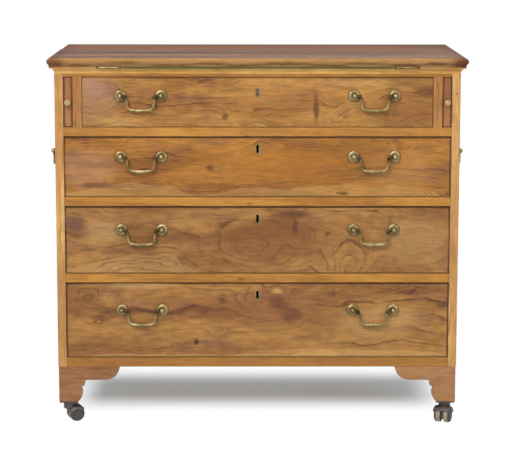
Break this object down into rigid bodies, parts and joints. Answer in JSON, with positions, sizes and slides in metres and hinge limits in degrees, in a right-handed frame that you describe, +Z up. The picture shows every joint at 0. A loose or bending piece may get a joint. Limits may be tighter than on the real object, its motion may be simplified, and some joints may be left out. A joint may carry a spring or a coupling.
{
  "type": "chest of drawers with fold-over top",
  "caption": "Chest of graduated drawers with a fold-over writing top on pull-out lopers, brass bail handles, bracket feet and castors.",
  "frame": {"origin": "on the floor under the middle of the chest, handles included", "axes": "+Z up, +X to the right seen from the front, the front faces -Y"},
  "size_m": [1.0598, 0.5092, 0.9215],
  "materials": {
    "case_wood": "waxed, yellow ochre, upright grain",
    "rail_wood": "waxed, yellow ochre, level grain",
    "drawer_front_wood": "waxed, figured orange brown",
    "loper_wood": "waxed, red brown",
    "foot_wood": "waxed, red brown",
    "top_wood": "waxed and worn, grey brown",
    "inner_wood": "dry, unpolished",
    "baize": "felted green wool",
    "brass": "aged, greenish",
    "castor_steel": "dark brown enamel",
    "castor_rubber": "tan treads on dark discs"
  },
  "bodies": {
    "case": {"side_left": "case_wood", "side_right": "case_wood", "top_rail": "rail_wood", "drawer_rails": "rail_wood", "base_rail": "rail_wood", "bottom_board": "inner_wood", "dust_boards": "inner_wood", "back_boards": "inner_wood", "kicker_strips": "inner_wood", "loper_partitions": "loper_wood", "drawer_stops": "inner_wood", "front_feet": "foot_wood", "back_feet": "foot_wood", "foot_blocks": "inner_wood", "fixed_top": "case_wood", "fixed_top_baize": "baize", "hinge_lower_plates": "brass", "side_handle_pommels": "brass", "castor_plates": "castor_steel"},
    "leaf": {"fold_leaf": "top_wood", "fold_leaf_baize": "baize", "hinge_upper_plates": "brass"},
    "loper_left": {"loper_left": "loper_wood", "loper_knob_left": "brass"},
    "loper_right": {"loper_right": "loper_wood", "loper_knob_right": "brass"},
    "drawer_1": {"drawer_1_front": "drawer_front_wood", "drawer_1_box": "inner_wood", "drawer_1_brasses": "brass"},
    "drawer_1_bolt": {"drawer_1_lock_bolt": "brass"},
    "drawer_1_bail_left": {"drawer_1_bail_left": "brass"},
    "drawer_1_bail_right": {"drawer_1_bail_right": "brass"},
    "drawer_2": {"drawer_2_front": "drawer_front_wood", "drawer_2_box": "inner_wood", "drawer_2_brasses": "brass"},
    "drawer_2_bolt": {"drawer_2_lock_bolt": "brass"},
    "drawer_2_bail_left": {"drawer_2_bail_left": "brass"},
    "drawer_2_bail_right": {"drawer_2_bail_right": "brass"},
    "drawer_3": {"drawer_3_front": "drawer_front_wood", "drawer_3_box": "inner_wood", "drawer_3_brasses": "brass"},
    "drawer_3_bolt": {"drawer_3_lock_bolt": "brass"},
    "drawer_3_bail_left": {"drawer_3_bail_left": "brass"},
    "drawer_3_bail_right": {"drawer_3_bail_right": "brass"},
    "drawer_4": {"drawer_4_front": "drawer_front_wood", "drawer_4_box": "inner_wood", "drawer_4_brasses": "brass"},
    "drawer_4_bolt": {"drawer_4_lock_bolt": "brass"},
    "drawer_4_bail_left": {"drawer_4_bail_left": "brass"},
    "drawer_4_bail_right": {"drawer_4_bail_right": "brass"},
    "side_bail_left": {"side_bail_left": "brass"},
    "side_bail_right": {"side_bail_right": "brass"},
    "castor_front_left": {"castor_hood_front_left": "castor_steel"},
    "castor_front_left_wheels": {"castor_wheels_front_left": "castor_rubber"},
    "castor_front_right": {"castor_hood_front_right": "castor_steel"},
    "castor_front_right_wheels": {"castor_wheels_front_right": "castor_rubber"},
    "castor_back_left": {"castor_hood_back_left": "castor_steel"},
    "castor_back_left_wheels": {"castor_wheels_back_left": "castor_rubber"},
    "castor_back_right": {"castor_hood_back_right": "castor_steel"},
    "castor_back_right_wheels": {"castor_wheels_back_right": "castor_rubber"}
  },
  "joints": [
    {"name": "leaf_fold", "type": "hinge", "parent": "case", "child": "leaf", "pos_m": [0, -0.24775, 0.8985], "axis": [1, 0, 0], "range_deg": [0, 180]},
    {"name": "loper_left_slide", "type": "slide", "parent": "case", "child": "loper_left", "axis": [0, -1, 0], "range_m": [0, 0.33]},
    {"name": "loper_right_slide", "type": "slide", "parent": "case", "child": "loper_right", "axis": [0, -1, 0], "range_m": [0, 0.33]},
    {"name": "drawer_1_slide", "type": "slide", "parent": "case", "child": "drawer_1", "axis": [0, -1, 0], "range_m": [0, 0.38]},
    {"name": "drawer_1_bolt_throw", "type": "slide", "parent": "drawer_1", "child": "drawer_1_bolt", "axis": [0, 0, -1], "range_m": [-0.006, 0]},
    {"name": "drawer_1_bail_left_lift", "type": "hinge", "parent": "drawer_1", "child": "drawer_1_bail_left", "pos_m": [-0.2885, -0.24815, 0.82845], "axis": [-1, 0, 0], "range_deg": [0, 170]},
    {"name": "drawer_1_bail_right_lift", "type": "hinge", "parent": "drawer_1", "child": "drawer_1_bail_right", "pos_m": [0.2885, -0.24815, 0.82845], "axis": [-1, 0, 0], "range_deg": [0, 170]},
    {"name": "drawer_2_slide", "type": "slide", "parent": "case", "child": "drawer_2", "axis": [0, -1, 0], "range_m": [0, 0.38]},
    {"name": "drawer_2_bolt_throw", "type": "slide", "parent": "drawer_2", "child": "drawer_2_bolt", "axis": [0, 0, -1], "range_m": [-0.006, 0]},
    {"name": "drawer_2_bail_left_lift", "type": "hinge", "parent": "drawer_2", "child": "drawer_2_bail_left", "pos_m": [-0.2885, -0.24815, 0.6774], "axis": [-1, 0, 0], "range_deg": [0, 170]},
    {"name": "drawer_2_bail_right_lift", "type": "hinge", "parent": "drawer_2", "child": "drawer_2_bail_right", "pos_m": [0.2885, -0.24815, 0.6774], "axis": [-1, 0, 0], "range_deg": [0, 170]},
    {"name": "drawer_3_slide", "type": "slide", "parent": "case", "child": "drawer_3", "axis": [0, -1, 0], "range_m": [0, 0.38]},
    {"name": "drawer_3_bolt_throw", "type": "slide", "parent": "drawer_3", "child": "drawer_3_bolt", "axis": [0, 0, -1], "range_m": [-0.006, 0]},
    {"name": "drawer_3_bail_left_lift", "type": "hinge", "parent": "drawer_3", "child": "drawer_3_bail_left", "pos_m": [-0.2885, -0.24815, 0.4939], "axis": [-1, 0, 0], "range_deg": [0, 170]},
    {"name": "drawer_3_bail_right_lift", "type": "hinge", "parent": "drawer_3", "child": "drawer_3_bail_right", "pos_m": [0.2885, -0.24815, 0.4939], "axis": [-1, 0, 0], "range_deg": [0, 170]},
    {"name": "drawer_4_slide", "type": "slide", "parent": "case", "child": "drawer_4", "axis": [0, -1, 0], "range_m": [0, 0.38]},
    {"name": "drawer_4_bolt_throw", "type": "slide", "parent": "drawer_4", "child": "drawer_4_bolt", "axis": [0, 0, -1], "range_m": [-0.006, 0]},
    {"name": "drawer_4_bail_left_lift", "type": "hinge", "parent": "drawer_4", "child": "drawer_4_bail_left", "pos_m": [-0.2885, -0.24815, 0.2904], "axis": [-1, 0, 0], "range_deg": [0, 170]},
    {"name": "drawer_4_bail_right_lift", "type": "hinge", "parent": "drawer_4", "child": "drawer_4_bail_right", "pos_m": [0.2885, -0.24815, 0.2904], "axis": [-1, 0, 0], "range_deg": [0, 170]},
    {"name": "side_bail_left_lift", "type": "hinge", "parent": "case", "child": "side_bail_left", "pos_m": [-0.5235, 0.00955, 0.668], "axis": [0, 1, 0], "range_deg": [0, 170]},
    {"name": "side_bail_right_lift", "type": "hinge", "parent": "case", "child": "side_bail_right", "pos_m": [0.5235, 0.00955, 0.668], "axis": [0, -1, 0], "range_deg": [0, 170]},
    {"name": "castor_front_left_swivel", "type": "hinge", "parent": "case", "child": "castor_front_left", "pos_m": [-0.475, -0.21045, 0.055], "axis": [0, 0, 1], "continuous": true},
    {"name": "castor_front_left_roll", "type": "hinge", "parent": "castor_front_left", "child": "castor_front_left_wheels", "pos_m": [-0.46109, -0.20483, 0.019], "axis": [-0.3746, 0.9272, 0], "continuous": true},
    {"name": "castor_front_right_swivel", "type": "hinge", "parent": "case", "child": "castor_front_right", "pos_m": [0.475, -0.21045, 0.055], "axis": [0, 0, 1], "continuous": true},
    {"name": "castor_front_right_roll", "type": "hinge", "parent": "castor_front_right", "child": "castor_front_right_wheels", "pos_m": [0.47036, -0.22472, 0.019], "axis": [0.9511, -0.309, 0], "continuous": true},
    {"name": "castor_back_left_swivel", "type": "hinge", "parent": "case", "child": "castor_back_left", "pos_m": [-0.475, 0.22955, 0.055], "axis": [0, 0, 1], "continuous": true},
    {"name": "castor_back_left_roll", "type": "hinge", "parent": "castor_back_left", "child": "castor_back_left_wheels", "pos_m": [-0.46109, 0.22393, 0.019], "axis": [0.3746, 0.9272, 0], "continuous": true},
    {"name": "castor_back_right_swivel", "type": "hinge", "parent": "case", "child": "castor_back_right", "pos_m": [0.475, 0.22955, 0.055], "axis": [0, 0, 1], "continuous": true},
    {"name": "castor_back_right_roll", "type": "hinge", "parent": "castor_back_right", "child": "castor_back_right_wheels", "pos_m": [0.47036, 0.21528, 0.019], "axis": [0.9511, -0.309, 0], "continuous": true}
  ]
}
